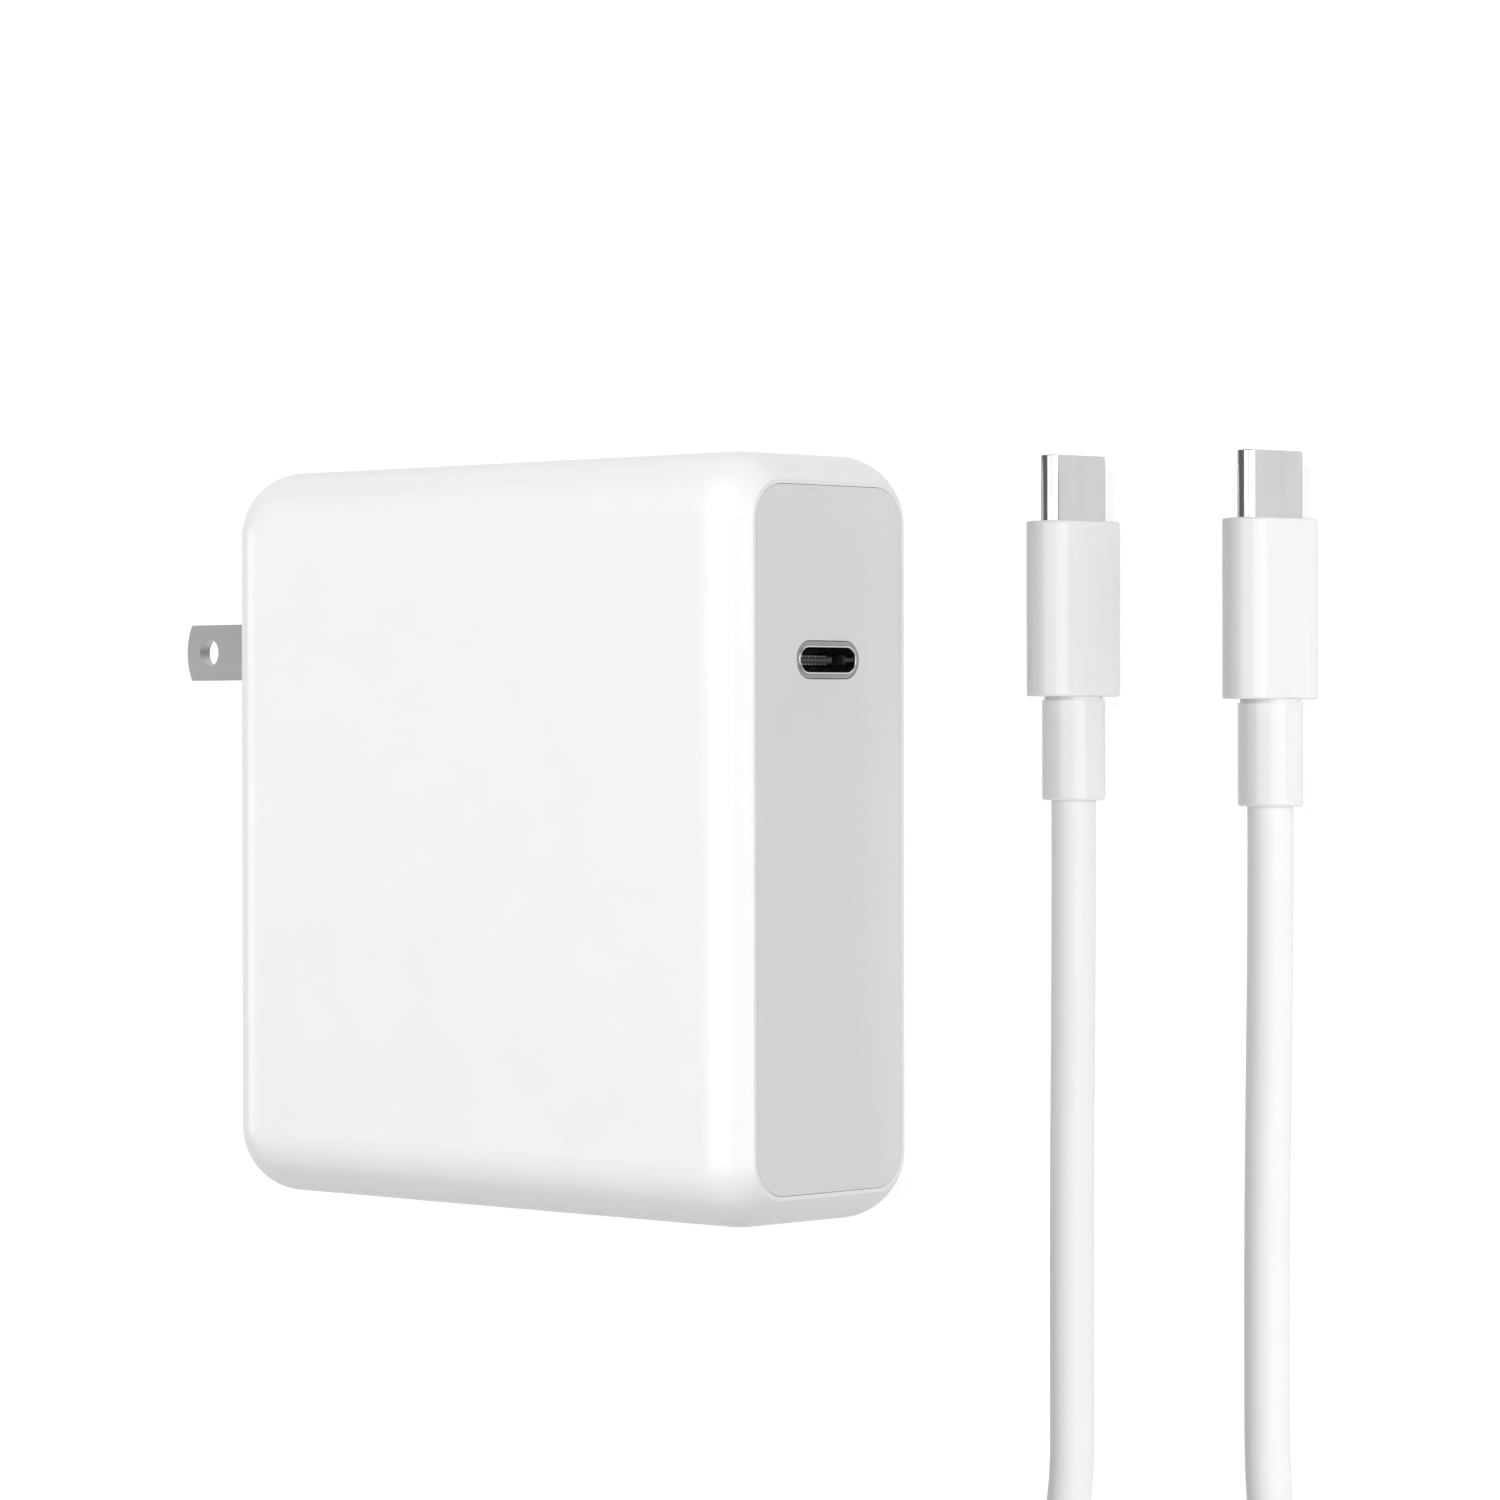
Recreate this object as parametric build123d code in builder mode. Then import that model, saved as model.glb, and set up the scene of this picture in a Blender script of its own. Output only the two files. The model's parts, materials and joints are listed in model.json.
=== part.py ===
"""Square two-blade USB-C wall adapter with its loose USB-C charge cable. Millimetres.

The adapter lies on its back face at z = 0, centred on the origin. +X runs from the folding blades
to the port panel, +Y towards the end that holds the socket and the blade spindle, +Z is up.
"""

import os
from math import cos, pi, radians, sin, sqrt, tan

from build123d import *

# ---- adapter body ----
LENGTH = 80.0  # X, blade side to port panel
WIDTH = 80.0  # Y
THICK = 28.0  # Z, back face to front face
CORNER_R = 7.3  # corners seen from the front
EDGE_R = 6.6  # round edges of the two big faces
PORT_CUT = 1.4  # how far the port end cuts into those roundings
RIM = 0.45  # white rim left round the panel
PANEL_DEEP = 3.4
PANEL_PLATE = 2.0
PANEL_SKIRT = 1.6
LEDGE = 0.7  # step that the panel rests on
BLADE_WALL = 3.0
GAP = 0.05  # fitting gap between moulded parts

X_BLADE = -LENGTH / 2
X_PORT = LENGTH / 2
MID_Z = THICK / 2
PANEL_BACK = X_PORT - PANEL_DEEP
SECTION_Y = WIDTH / 2 - CORNER_R + sqrt(CORNER_R**2 - (CORNER_R - PORT_CUT) ** 2)
SECTION_Z = THICK / 2 - EDGE_R + sqrt(EDGE_R**2 - (EDGE_R - PORT_CUT) ** 2)
PANEL_Y = SECTION_Y - RIM  # half sizes of the panel
PANEL_Z = SECTION_Z - RIM
PANEL_R = 3.85
CAVITY_Y = PANEL_Y - LEDGE
CAVITY_Z = PANEL_Z - LEDGE
CAVITY_END = X_BLADE + BLADE_WALL

# ---- USB-C socket ----
PORT_Y = 18.5
PORT_Z = 14.3
OPEN_W, OPEN_H = 8.34, 2.56  # the standard opening
SOCKET_WALL = 0.2
SOCKET_W, SOCKET_H = OPEN_W + 2 * SOCKET_WALL, OPEN_H + 2 * SOCKET_WALL
SOCKET_FRONT = X_PORT + 0.1  # the shell's rounded rim stands just clear of its collar
SOCKET_DEEP = 10.1
SOCKET_LIP = 0.09
SOCKET_BACK = SOCKET_FRONT - SOCKET_DEEP
TRIM_W, TRIM_H = 9.4, 3.9
TRIM_DEEP = 1.6
TONGUE_W, TONGUE_T = 6.69, 0.7
CONTACTS_PER_SIDE = 12
CONTACT_PITCH, CONTACT_W = 0.5, 0.25

# ---- folding blades ----
BLADE_W, BLADE_T = 6.35, 1.5
BLADE_OUT = 15.9  # length beyond the blade side
BLADE_PITCH = 12.7
BLADE_HOLE_R = 1.6
BLADE_TIP_X = X_BLADE - BLADE_OUT
TIP_BULGE, TIP_BEVEL = 0.8, 0.35  # the tip is a shallow arc with a bevel on both faces
BLADE_HOLE_X = X_BLADE - 11.7
PAIR_Z = 12.0
PIVOT_X, PIVOT_Y = X_BLADE + 3.7, 20.2
SLOT_CLEAR = 0.3
SLOT_T = BLADE_T + 2 * SLOT_CLEAR
BLADE_ZS = (PAIR_Z - BLADE_PITCH / 2, PAIR_Z + BLADE_PITCH / 2)
SLOT_TOP = PIVOT_Y + BLADE_W / 2 + SLOT_CLEAR
SLOT_BOTTOM = PIVOT_Y + BLADE_TIP_X - PIVOT_X - 0.6
SHAFT_R, BARREL_R = 1.5, 2.2
RUN_CLEAR = 0.06
SHAFT_END = 1.1  # shaft beyond each blade
SHAFT_Z = (BLADE_ZS[0] - BLADE_T / 2 - SHAFT_END, BLADE_ZS[1] + BLADE_T / 2 + SHAFT_END)
BARREL_Z = (BLADE_ZS[0] + BLADE_T / 2, BLADE_ZS[1] - BLADE_T / 2)
CRADLE_FRONT, CRADLE_BACK = X_BLADE + 2.0, X_BLADE + 8.0
CRADLE_TOP, CRADLE_BOTTOM = 25.8, -1.5
CRADLE_Z0, CRADLE_Z1 = 3.75, 21.2
RETAINER_T = 1.4
SCOOP_R, SCOOP_DEEP, SCOOP_Y = 11.0, 1.2, 3.0
SCREW_YS = (14.6, 24.4)
SCREW_R, SCREW_HEAD_R, SCREW_HEAD_T = 1.0, 1.7, 1.2
SCREW_IN = 3.6
CROSS_W, CROSS_T = 2.2, 0.5  # cross recess in each screw head

# ---- boards ----
BOARD_Z0, BOARD_T = 6.0, 1.6
BOARD_TOP = BOARD_Z0 + BOARD_T
BOARD_X0, BOARD_X1 = -28.4, 35.4
BOARD_Y = 34.4
OUT_BOARD_T = 1.2
OUT_BOARD_Y1 = PORT_Y - SOCKET_H / 2
SHEET_T = 0.5  # heat spreaders
SPREAD_Y, SPREAD_HALF_Z, SPREAD_R = 35.3, 9.95, 3.0
SPREAD_TOP = MID_Z + SPREAD_HALF_Z - SHEET_T
SPREAD_SPLIT_Z = 9.0

# ---- cable ----
CORD_D = 4.5
PLUG_LEAN = 5.0  # degrees that each plug leans back on its narrow edge
SHELL_W, SHELL_T, SHELL_OUT = 8.25, 2.4, 6.65
SHELL_WALL, SHELL_IN, SHELL_EDGE_R = 0.25, 3.0, 0.12
MOUTH_W, MOUTH_T, MOUTH_DEEP = 7.0, 0.95, 5.4  # room for the socket's tongue
PLUG_CONTACT_T = 0.1
GRIP_W, GRIP_T, GRIP_L, GRIP_EDGE_R = 10.9, 6.0, 17.7, 0.25
RELIEF_D, RELIEF_L, RELIEF_EDGE_R = 6.4, 10.5, 0.35
NECK_L, NECK_IN = 0.35, 0.25  # the groove between grip and strain relief
PLUG_Z = (GRIP_W - GRIP_T) / 2 * cos(radians(PLUG_LEAN)) + GRIP_T / 2
PLUG_A = (65.6, 14.6)  # X and Y of the root of each grip
PLUG_B = (90.7, 14.2)
RELIEF_A_Y = PLUG_A[1] - RELIEF_L
RELIEF_B_Y = PLUG_B[1] - RELIEF_L

COIL_X, COIL_Y = 75.4, -111.0
COIL_COLUMNS, COIL_LAYERS = 3, 4
COIL_MEAN_R = 24.75
COIL_R = COIL_MEAN_R + (COIL_COLUMNS - 1) / 2 * CORD_D  # centre of the outermost turn
TIE_T, TIE_ARC = 0.8, 26.0
COIL_Z0 = TIE_T
COIL_Z1 = COIL_Z0 + COIL_LAYERS * CORD_D
FIRST_TURN_Z = COIL_Z0 + CORD_D / 2
LAST_TURN_Z = COIL_Z1 - CORD_D / 2

# The cord's free runs, from each strain relief to the coil.
ROUTE_A = [
    (PLUG_A[0], RELIEF_A_Y, PLUG_Z),
    (PLUG_A[0], -8.0, PLUG_Z),
    (64.14, -22.0, 3.9),
    (62.9, -38.0, 2.6),
    (62.6, -54.0, 2.26),
    (62.65, -68.0, 2.27),
    (58.6, -80.0, 2.35),
    (51.0, -90.0, 2.55),
    (46.4, -100.0, 2.9),
    (COIL_X - COIL_R, COIL_Y, FIRST_TURN_Z),
]
ROUTE_B = [
    (PLUG_B[0], RELIEF_B_Y, PLUG_Z),
    (PLUG_B[0], -8.5, PLUG_Z),
    (89.15, -23.0, 3.8),
    (88.0, -38.0, 2.6),
    (87.7, -52.0, 2.26),
    (88.1, -65.0, 2.7),
    (92.5, -77.0, 5.6),
    (99.6, -87.5, 10.6),
    (104.2, -98.5, 15.2),
    (COIL_X + COIL_R, COIL_Y, LAST_TURN_Z),
]

os.makedirs("parts", exist_ok=True)


def save(piece, name):
    """Label a finished piece and write its STEP file."""
    piece.label = name
    export_step(piece, f"parts/{name}.step")


def block(xs, ys, zs, mode=Mode.ADD):
    """A box between two X, two Y and two Z limits."""
    centre = ((xs[0] + xs[1]) / 2, (ys[0] + ys[1]) / 2, (zs[0] + zs[1]) / 2)
    with Locations(centre):
        Box(xs[1] - xs[0], ys[1] - ys[0], zs[1] - zs[0], mode=mode)


def port_plane(x):
    """Sketch plane facing +X at the socket: local x along Z, the opening's long way."""
    return Plane(origin=(x, PORT_Y, PORT_Z), x_dir=(0, 0, 1), z_dir=(1, 0, 0))


def end_plane(x):
    """Sketch plane facing +X at mid thickness: local x along Y, local y along Z."""
    return Plane(origin=(x, 0, MID_Z), x_dir=(0, 1, 0), z_dir=(1, 0, 0))


def upright_cylinder(x, y, z0, z1, r, mode=Mode.ADD):
    """A cylinder along Z between two heights."""
    with Locations((x, y, (z0 + z1) / 2)):
        Cylinder(r, z1 - z0, mode=mode)


# ---------------------------------------------------------------- casing
with BuildPart() as housing_shell:
    with BuildSketch(Plane.XY):
        with Locations((PORT_CUT / 2, 0)):
            RectangleRounded(LENGTH + PORT_CUT, WIDTH, CORNER_R)
    extrude(amount=THICK)
    levels = housing_shell.edges().group_by(Axis.Z)
    fillet(levels[0] + levels[-1], EDGE_R)
    block((X_PORT, X_PORT + 5), (-WIDTH, WIDTH), (-1, THICK + 1), Mode.SUBTRACT)
    with BuildSketch(end_plane(PANEL_BACK)):
        RectangleRounded(2 * PANEL_Y, 2 * PANEL_Z, PANEL_R)
    extrude(amount=PANEL_DEEP, mode=Mode.SUBTRACT)
    with BuildSketch(end_plane(CAVITY_END)):
        RectangleRounded(2 * CAVITY_Y, 2 * CAVITY_Z, PANEL_R - LEDGE)
    extrude(amount=PANEL_BACK - CAVITY_END, mode=Mode.SUBTRACT)
    # seat for the blade cradle in the inner face of the blade wall
    block(
        (CRADLE_FRONT - 0.1, CAVITY_END),
        (CRADLE_BOTTOM - 0.2, CRADLE_TOP + 0.2),
        (CRADLE_Z0 - 0.05, CRADLE_Z1 + 0.2),
        Mode.SUBTRACT,
    )
    with BuildSketch(Plane.YZ.offset(X_BLADE - 0.1)):
        with Locations(*[((SLOT_TOP + SLOT_BOTTOM) / 2, z) for z in BLADE_ZS]):
            RectangleRounded(SLOT_TOP - SLOT_BOTTOM, SLOT_T, 0.4)
    extrude(amount=BLADE_WALL + 0.2, mode=Mode.SUBTRACT)
    upright_cylinder(PIVOT_X, PIVOT_Y, *BARREL_Z, BARREL_R + 0.25, Mode.SUBTRACT)
    # shallow finger scoop between the ends of the folded blades
    scoop_z = BLADE_PITCH - SLOT_T - 0.8
    with Locations((X_BLADE - SCOOP_R + SCOOP_DEEP, SCOOP_Y, PAIR_Z)):
        Cylinder(SCOOP_R, scoop_z, mode=Mode.SUBTRACT)
save(housing_shell.part, "housing_shell")

with BuildPart() as port_panel:
    with BuildSketch(end_plane(PANEL_BACK)):
        RectangleRounded(2 * (PANEL_Y - GAP), 2 * (PANEL_Z - GAP), PANEL_R - GAP)
        RectangleRounded(
            2 * (PANEL_Y - PANEL_SKIRT),
            2 * (PANEL_Z - PANEL_SKIRT),
            PANEL_R - PANEL_SKIRT,
            mode=Mode.SUBTRACT,
        )
    extrude(amount=PANEL_DEEP)
    with BuildSketch(end_plane(X_PORT - PANEL_PLATE)):
        RectangleRounded(2 * (PANEL_Y - GAP), 2 * (PANEL_Z - GAP), PANEL_R - GAP)
    extrude(amount=PANEL_PLATE)
    with BuildSketch(port_plane(X_PORT - PANEL_PLATE)):
        SlotOverall(TRIM_W + 2 * GAP, TRIM_H + 2 * GAP)
    extrude(amount=PANEL_PLATE, mode=Mode.SUBTRACT)
save(port_panel.part, "port_panel")

# ---------------------------------------------------------------- USB-C socket
with BuildPart() as usb_trim_ring:
    with BuildSketch(port_plane(X_PORT - TRIM_DEEP)):
        SlotOverall(TRIM_W, TRIM_H)
        SlotOverall(SOCKET_W + GAP, SOCKET_H + GAP, mode=Mode.SUBTRACT)
    extrude(amount=TRIM_DEEP)
    front = usb_trim_ring.faces().sort_by(Axis.X)[-1]
    fillet(front.outer_wire().edges(), 0.12)
save(usb_trim_ring.part, "usb_trim_ring")

with BuildPart() as usb_receptacle_shell:
    with BuildSketch(port_plane(SOCKET_BACK)):
        SlotOverall(SOCKET_W, SOCKET_H)
    extrude(amount=SOCKET_DEEP)
    with BuildSketch(port_plane(SOCKET_BACK + SOCKET_WALL)):
        SlotOverall(OPEN_W, OPEN_H)
    extrude(amount=SOCKET_DEEP, mode=Mode.SUBTRACT)
    rim = usb_receptacle_shell.faces().sort_by(Axis.X)[-1]
    fillet(rim.edges(), SOCKET_LIP)
save(usb_receptacle_shell.part, "usb_receptacle_shell")

BASE_DEEP, TONGUE_LONG, CONTACT_T = 2.3, 5.2, 0.12
TONGUE_ROOT = SOCKET_BACK + SOCKET_WALL + BASE_DEEP
with BuildPart() as usb_tongue:
    with BuildSketch(port_plane(SOCKET_BACK + SOCKET_WALL)):
        SlotOverall(OPEN_W, OPEN_H)
    extrude(amount=BASE_DEEP)
    with BuildSketch(port_plane(TONGUE_ROOT)):
        Rectangle(TONGUE_W, TONGUE_T)
    extrude(amount=TONGUE_LONG)
    tip = usb_tongue.faces().sort_by(Axis.X)[-1]
    chamfer(tip.edges(), 0.2)
save(usb_tongue.part, "usb_tongue")

with BuildPart() as usb_contacts:
    for side in (-1, 1):
        with BuildSketch(port_plane(TONGUE_ROOT)):
            with Locations((0, side * (TONGUE_T + CONTACT_T) / 2)):
                with GridLocations(CONTACT_PITCH, 0, CONTACTS_PER_SIDE, 1):
                    Rectangle(CONTACT_W, CONTACT_T)
        extrude(amount=TONGUE_LONG - 0.6)
save(usb_contacts.part, "usb_contacts")

OUT_BOARD_Y0 = OUT_BOARD_Y1 - OUT_BOARD_T
with BuildPart() as output_board:
    block((24.0, 36.3), (OUT_BOARD_Y0, OUT_BOARD_Y1), (BOARD_TOP, 23.0))
save(output_board.part, "output_board")

CHIP_SIDE, CHIP_T = 5.0, 0.9
with BuildPart() as charging_controller:
    with BuildSketch(Plane.XZ.offset(-OUT_BOARD_Y0)):
        with Locations((32.0, MID_Z)):
            Rectangle(CHIP_SIDE, CHIP_SIDE)
    extrude(amount=CHIP_T)
    chamfer(charging_controller.faces().sort_by(Axis.Y)[0].edges(), 0.2)
save(charging_controller.part, "charging_controller")

# ---------------------------------------------------------------- blades
def make_blade(z):
    """A flat blade: a round hole near its curved, bevelled tip and a knuckle round the spindle."""
    with BuildPart() as blade:
        with BuildSketch(Plane.XY.offset(z - BLADE_T / 2)) as outline:
            low_y, high_y = PIVOT_Y - BLADE_W / 2, PIVOT_Y + BLADE_W / 2
            corner_x = BLADE_TIP_X + TIP_BULGE
            with BuildLine():
                tip = ThreePointArc((corner_x, low_y), (BLADE_TIP_X, PIVOT_Y), (corner_x, high_y))
                Polyline(tip @ 1, (PIVOT_X, high_y), (PIVOT_X, low_y), tip @ 0)
            make_face()
            with Locations((PIVOT_X, PIVOT_Y)):
                Circle(BLADE_W / 2)
                Circle(SHAFT_R, mode=Mode.SUBTRACT)
            with Locations((BLADE_HOLE_X, PIVOT_Y)):
                Circle(BLADE_HOLE_R, mode=Mode.SUBTRACT)
        extrude(amount=BLADE_T)
        tip_face = blade.faces().filter_by(GeomType.CYLINDER).sort_by(Axis.X)[0]
        chamfer(tip_face.edges().filter_by(GeomType.CIRCLE), TIP_BEVEL, TIP_BEVEL * 1.4)
    return blade.part


for name, z in zip(("blade_neutral", "blade_line"), BLADE_ZS):
    save(make_blade(z), name)

with BuildPart() as blade_spindle:
    upright_cylinder(PIVOT_X, PIVOT_Y, *SHAFT_Z, SHAFT_R)
    upright_cylinder(PIVOT_X, PIVOT_Y, *BARREL_Z, BARREL_R)
save(blade_spindle.part, "blade_spindle")

BEARING_R = BARREL_R + RUN_CLEAR
SEAT_R = SHAFT_R + RUN_CLEAR
with BuildPart() as blade_cradle:
    block(
        (CRADLE_FRONT, CRADLE_BACK), (CRADLE_BOTTOM, CRADLE_TOP), (CRADLE_Z0, CRADLE_Z1)
    )
    for z in BLADE_ZS:
        slot_z = (z - SLOT_T / 2, z + SLOT_T / 2)
        back = PIVOT_X + BLADE_W / 2 + SLOT_CLEAR
        block((CRADLE_FRONT - 1, back), (SLOT_BOTTOM, SLOT_TOP), slot_z, Mode.SUBTRACT)
        # open behind the knuckle, so that the blades go in from the back
        block((PIVOT_X, CRADLE_BACK + 1), (16.6, SLOT_TOP), slot_z, Mode.SUBTRACT)
    barrel_gap = (BARREL_Z[0] - SLOT_CLEAR, BARREL_Z[1] + SLOT_CLEAR)
    shaft_gap = (SHAFT_Z[0] - 0.05, SHAFT_Z[1] + 0.1)
    for r, zs in ((BEARING_R, barrel_gap), (SEAT_R, shaft_gap)):
        upright_cylinder(PIVOT_X, PIVOT_Y, *zs, r, Mode.SUBTRACT)
        block((PIVOT_X, CRADLE_BACK + 1), (PIVOT_Y - r, PIVOT_Y + r), zs, Mode.SUBTRACT)
    with BuildSketch(Plane.YZ.offset(CRADLE_BACK)):
        with Locations(*[(y, PAIR_Z) for y in SCREW_YS]):
            Circle(SCREW_R)
    extrude(amount=-(SCREW_IN + 0.4), mode=Mode.SUBTRACT)
save(blade_cradle.part, "blade_cradle")

RETAINER_BACK = CRADLE_BACK + RETAINER_T
NOSE_CLEAR = 0.1
with BuildPart() as blade_retainer:
    block((CRADLE_BACK, RETAINER_BACK), (12.4, CRADLE_TOP), (CRADLE_Z0, CRADLE_Z1))
    nose_y = (PIVOT_Y - BEARING_R + NOSE_CLEAR, PIVOT_Y + BEARING_R - NOSE_CLEAR)
    nose_z = (BARREL_Z[0] + NOSE_CLEAR, BARREL_Z[1] - NOSE_CLEAR)
    block((PIVOT_X + 1.0, CRADLE_BACK), nose_y, nose_z)
    upright_cylinder(PIVOT_X, PIVOT_Y, 0, THICK, BEARING_R, Mode.SUBTRACT)
    for z in BLADE_ZS:
        block((CRADLE_BACK, RETAINER_BACK), (18.4, 22.0), (z - 1, z + 1), Mode.SUBTRACT)
    with BuildSketch(Plane.YZ.offset(CRADLE_BACK)):
        with Locations(*[(y, PAIR_Z) for y in SCREW_YS]):
            Circle(SCREW_R + 0.1)
    extrude(amount=RETAINER_T, mode=Mode.SUBTRACT)
save(blade_retainer.part, "blade_retainer")

with BuildPart() as cradle_screws:
    with BuildSketch(Plane.YZ.offset(CRADLE_BACK - SCREW_IN)):
        with Locations(*[(y, PAIR_Z) for y in SCREW_YS]):
            Circle(SCREW_R)
    extrude(amount=SCREW_IN + RETAINER_T)
    with BuildSketch(Plane.YZ.offset(RETAINER_BACK)):
        with Locations(*[(y, PAIR_Z) for y in SCREW_YS]):
            Circle(SCREW_HEAD_R)
    extrude(amount=SCREW_HEAD_T)
    with BuildSketch(Plane.YZ.offset(RETAINER_BACK + SCREW_HEAD_T)):
        with Locations(*[(y, PAIR_Z) for y in SCREW_YS]):
            Rectangle(CROSS_W, CROSS_T)
            Rectangle(CROSS_T, CROSS_W)
    extrude(amount=-0.7, mode=Mode.SUBTRACT)
save(cradle_screws.part, "cradle_screws")

SPRING_T, SPRING_W, NIB_R = 0.4, 1.4, 0.4
TAB_Y = (16.4, 18.2)
SPRING_TIP = PIVOT_X + BLADE_W / 2 + 0.1
SPRING_BACK = RETAINER_BACK + SPRING_T
TAB_TOPS = (11.0, 20.6)
for name, z, tab_top in zip(("neutral_spring", "line_spring"), BLADE_ZS, TAB_TOPS):
    with BuildPart() as contact_spring:
        spring_z = (z - SPRING_W / 2, z + SPRING_W / 2)
        block((SPRING_TIP + 0.3, SPRING_BACK), (PIVOT_Y, PIVOT_Y + SPRING_T), spring_z)
        with Locations((SPRING_TIP + NIB_R, PIVOT_Y + SPRING_T / 2, z)):
            Cylinder(NIB_R, SPRING_W)
        block((RETAINER_BACK, SPRING_BACK), (TAB_Y[0], PIVOT_Y + SPRING_T), spring_z)
        block((RETAINER_BACK, SPRING_BACK), TAB_Y, (z - SPRING_W / 2, tab_top))
    save(contact_spring.part, name)

# ---------------------------------------------------------------- boards and components
with BuildPart() as main_board:
    block((BOARD_X0, BOARD_X1), (-BOARD_Y, BOARD_Y), (BOARD_Z0, BOARD_TOP))
    fillet(main_board.edges().filter_by(Axis.Z), 2.0)
save(main_board.part, "main_board")

LEAD_R = 0.8
LEAD_X = SPRING_BACK + LEAD_R + 0.05
FUSE_X, FUSE_Y0, FUSE_Y1, FUSE_R = -23.4, 20.8, 33.8, 2.6
FUSE_Z = BOARD_TOP + FUSE_R
LEAD_PAD_X = BOARD_X0 + 1.1
LEADS = {
    "line_lead": [
        (LEAD_X, 17.3, 19.6),
        (LEAD_X, 25.5, 18.2),
        (LEAD_PAD_X, 31.5, 13.0),
        (LEAD_PAD_X, 31.5, BOARD_TOP),
    ],
    "neutral_lead": [
        (LEAD_X, 17.3, 8.8),
        (LEAD_X, 13.5, 9.0),
        (LEAD_PAD_X, 9.0, 11.2),
        (LEAD_PAD_X, 9.0, BOARD_TOP),
    ],
}


def round_tube(route, bends, radius):
    """A tube along straight runs joined by tangent arcs."""
    with BuildPart() as tube:
        with BuildLine() as path:
            FilletPolyline(route, radius=bends)
        start = Plane(origin=path.line @ 0, z_dir=path.line % 0)
        with BuildSketch(start):
            Circle(radius)
        sweep(path=path.line)
    return tube.part


for name, route in LEADS.items():
    save(round_tube(route, 1.2, LEAD_R), name)

with BuildPart() as fuse:
    with BuildSketch(Plane.XZ.offset(-FUSE_Y1)):
        with Locations((FUSE_X, FUSE_Z)):
            Circle(FUSE_R)
    extrude(amount=FUSE_Y1 - FUSE_Y0)
    ends = fuse.edges().group_by(Axis.Y)
    fillet(ends[0] + ends[-1], 0.5)
save(fuse.part, "fuse")

def make_disc(x, y, r, thick, gap):
    """A dipped disc component standing on edge, its flat face towards -X."""
    with BuildPart() as disc:
        with BuildSketch(Plane.YZ.offset(x)):
            with Locations((y, BOARD_TOP + r + gap)):
                Circle(r)
        extrude(amount=thick)
        rims = disc.edges().group_by(Axis.X)
        fillet(rims[0] + rims[-1], DISC_EDGE_R)
    return disc.part


DISC_EDGE_R = 1.2
save(make_disc(x=-25.2, y=15.0, r=4.5, thick=3.4, gap=0.1), "inrush_thermistor")
save(make_disc(x=11.0, y=20.0, r=4.2, thick=3.6, gap=0.2), "y_capacitor")

X_CAP_X, X_CAP_Y, X_CAP_TOP = (-27.6, -19.4), (-12.0, 6.0), 20.6
with BuildPart() as x_capacitor:
    block(X_CAP_X, X_CAP_Y, (BOARD_TOP, X_CAP_TOP))
    fillet(x_capacitor.edges().filter_by(Axis.Z), 0.8)
save(x_capacitor.part, "x_capacitor")

CHOKE_X, CHOKE_Y, CHOKE_Z = -13.5, 25.0, 15.1
CORE_OUT, CORE_IN, CORE_LONG, WIRE_T = 6.2, 3.4, 6.0, 1.0
WINDING_GAP = 2.4  # between the line winding and the neutral winding


def choke_ring(x, long, outer, inner, mode=Mode.ADD):
    """A ring round the choke's axis, which runs along X."""
    with BuildSketch(Plane.YZ.offset(x)) as ring:
        with Locations((CHOKE_Y, CHOKE_Z)):
            Circle(outer)
            Circle(inner, mode=Mode.SUBTRACT)
    extrude(ring.sketch, amount=long, mode=mode)


CORE_X0 = CHOKE_X - CORE_LONG / 2
with BuildPart() as choke_core:
    choke_ring(CORE_X0, CORE_LONG, CORE_OUT, CORE_IN)
save(choke_core.part, "choke_core")

with BuildPart() as choke_windings:
    choke_ring(CORE_X0 - WIRE_T, CORE_LONG + 2 * WIRE_T, CORE_OUT + WIRE_T, CORE_IN - WIRE_T)
    choke_ring(CORE_X0, CORE_LONG, CORE_OUT, CORE_IN, Mode.SUBTRACT)
    split_y = (CHOKE_Y - WINDING_GAP / 2, CHOKE_Y + WINDING_GAP / 2)
    block((BOARD_X0, 0), split_y, (BOARD_TOP, THICK), Mode.SUBTRACT)
save(choke_windings.part, "choke_windings")

BRIDGE_Y, BRIDGE_T, BRIDGE_TOP = (16.0, 33.6), 3.6, 21.0
LEG_UP = 1.5  # bodies with legs stand this far off the board
with BuildPart() as bridge_rectifier:
    bridge_x = -2.5
    body_x = (bridge_x - BRIDGE_T / 2, bridge_x + BRIDGE_T / 2)
    block(body_x, BRIDGE_Y, (BOARD_TOP + LEG_UP, BRIDGE_TOP))
    chamfer(bridge_rectifier.edges().filter_by(Axis.X).sort_by(Axis.Z)[-1], 2.5)
    for i in range(4):
        leg_y = 18.2 + i * 4.4
        block((bridge_x - 0.3, bridge_x + 0.3), (leg_y - 0.5, leg_y + 0.5), (BOARD_TOP, BOARD_TOP + LEG_UP))
save(bridge_rectifier.part, "bridge_rectifier")

BULK_R = 7.3
BULK_CANS = ((-27.6, 5.6, -27.0), (-18.0, 15.2, -12.3))
with BuildPart() as bulk_capacitors:
    for x0, x1, y in BULK_CANS:
        with BuildSketch(Plane.YZ.offset(x0)):
            with Locations((y, BOARD_TOP + BULK_R)):
                Circle(BULK_R)
        extrude(amount=x1 - x0)
    rims = bulk_capacitors.edges().filter_by(GeomType.CIRCLE)
    fillet(rims, 0.8)
save(bulk_capacitors.part, "bulk_capacitors")

INDUCTOR_X, INDUCTOR_Y, INDUCTOR_Z = (-17.6, -0.4), (-4.0, 14.4), (BOARD_TOP, 21.8)
TRANSFORMER_X, TRANSFORMER_Y, TRANSFORMER_Z = (2.6, 28.0), (-4.0, 13.6), (BOARD_TOP, 22.9)


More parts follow.
